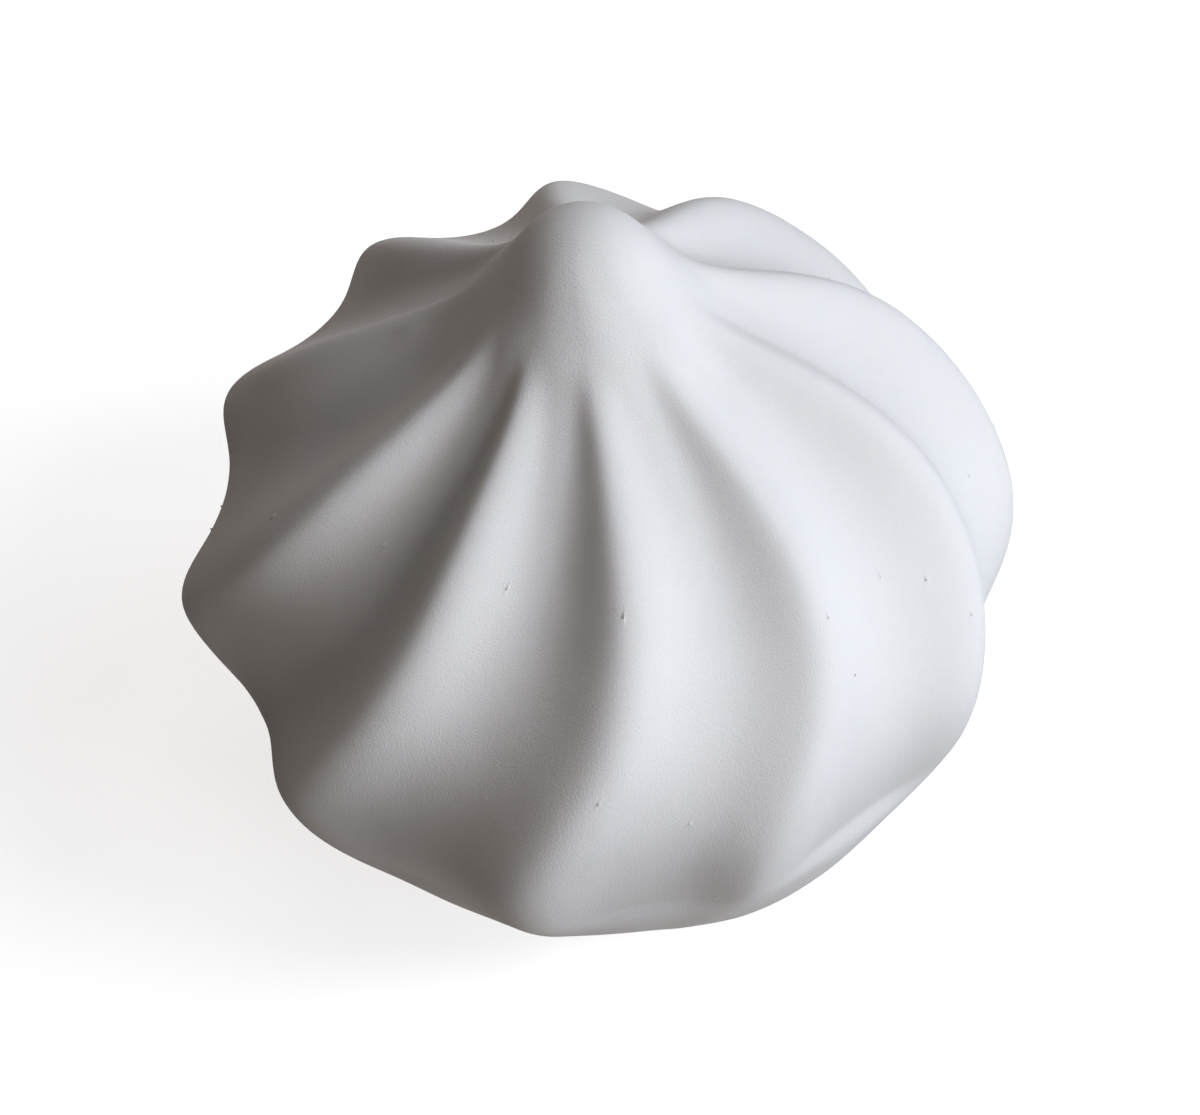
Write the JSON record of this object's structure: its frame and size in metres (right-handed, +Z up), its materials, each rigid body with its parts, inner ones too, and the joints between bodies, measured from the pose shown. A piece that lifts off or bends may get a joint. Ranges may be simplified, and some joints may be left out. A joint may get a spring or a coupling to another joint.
{
  "type": "meringue cookie",
  "caption": "Piped meringue kiss: one solid swirl of baked white meringue with rounded spiral ridges, a full belly and a soft pointed nose, standing on a flat foot.",
  "frame": {"origin": "middle of the flat foot, on the surface the meringue stands on", "axes": "+Z up through the swirl towards the nose, +Y towards the back, +X to the right as the shown side faces -Y"},
  "size_m": [0.0522, 0.0523, 0.0408],
  "materials": {
    "baked_meringue": "matte"
  },
  "bodies": {
    "root": {"meringue": "baked_meringue"}
  },
  "joints": []
}
